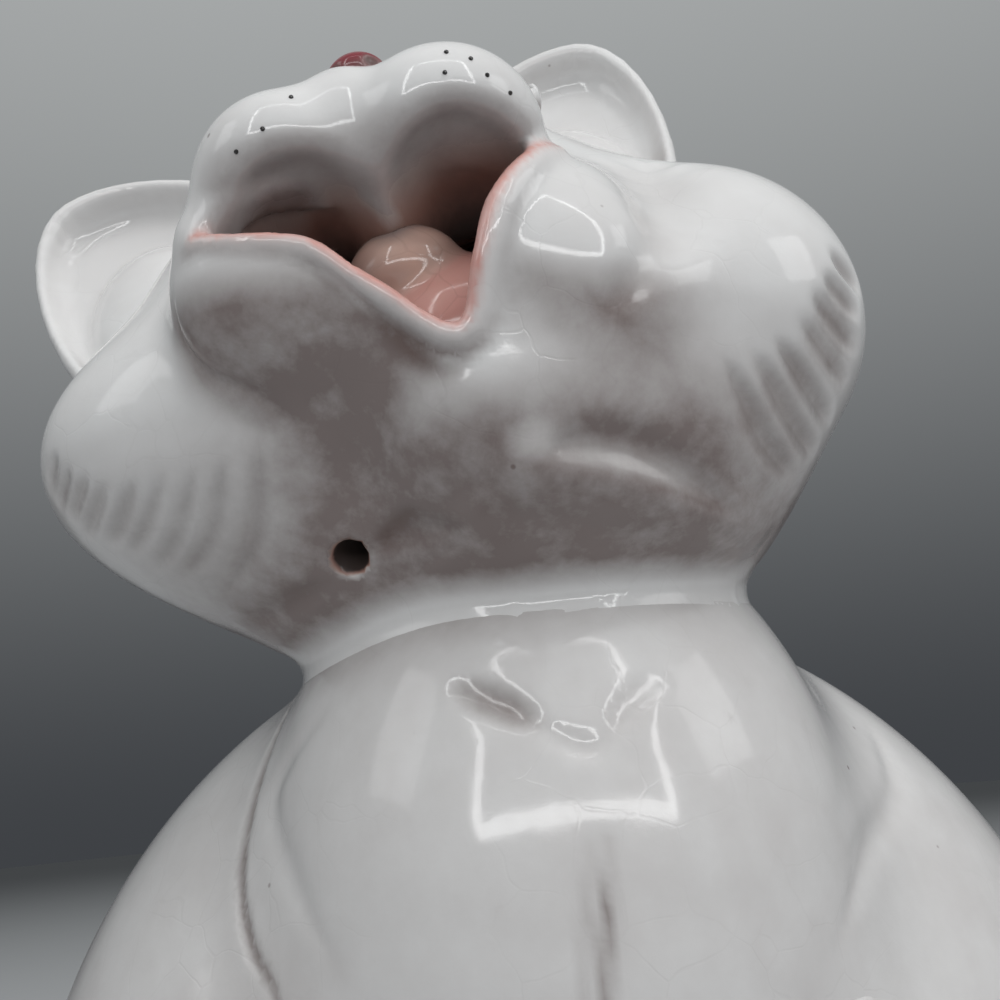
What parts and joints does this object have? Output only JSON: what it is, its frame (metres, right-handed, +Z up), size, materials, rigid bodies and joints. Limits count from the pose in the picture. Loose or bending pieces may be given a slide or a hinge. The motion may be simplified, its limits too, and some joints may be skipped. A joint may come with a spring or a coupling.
{
  "type": "cat figurine",
  "caption": "Sitting cat ornament in white crackle-glazed earthenware, head thrown back and tilted with the mouth wide open, hollow inside and resting on a flat base.",
  "frame": {"origin": "on the surface that the figure stands on, under the middle of its neck", "axes": "+Z up, the cat faces -Y; left and right in the names are as seen from the front, with left at -X"},
  "size_m": [0.1702, 0.1578, 0.2528],
  "materials": {
    "white_glaze": "glossy white crackle glaze, stained mauve and brown in the hollows",
    "mouth_glaze": "white glaze over a brown-pink stain",
    "tongue_glaze": "glossy beige-pink glaze",
    "nose_glaze": "glossy burgundy glaze",
    "eye_glaze": "glossy dark glaze",
    "bare_clay": "unglazed fired clay"
  },
  "bodies": {
    "root": {"head_shell": "white_glaze", "mouth_lining": "mouth_glaze", "tongue": "tongue_glaze", "nose_pad": "nose_glaze", "left_eye": "eye_glaze", "right_eye": "eye_glaze", "left_ear": "white_glaze", "right_ear": "white_glaze", "torso_shell": "white_glaze", "base_slab": "bare_clay", "left_foreleg": "white_glaze", "right_foreleg": "white_glaze", "left_haunch": "white_glaze", "right_haunch": "white_glaze", "left_hind_paw": "white_glaze", "right_hind_paw": "white_glaze", "tail": "white_glaze"}
  },
  "joints": []
}
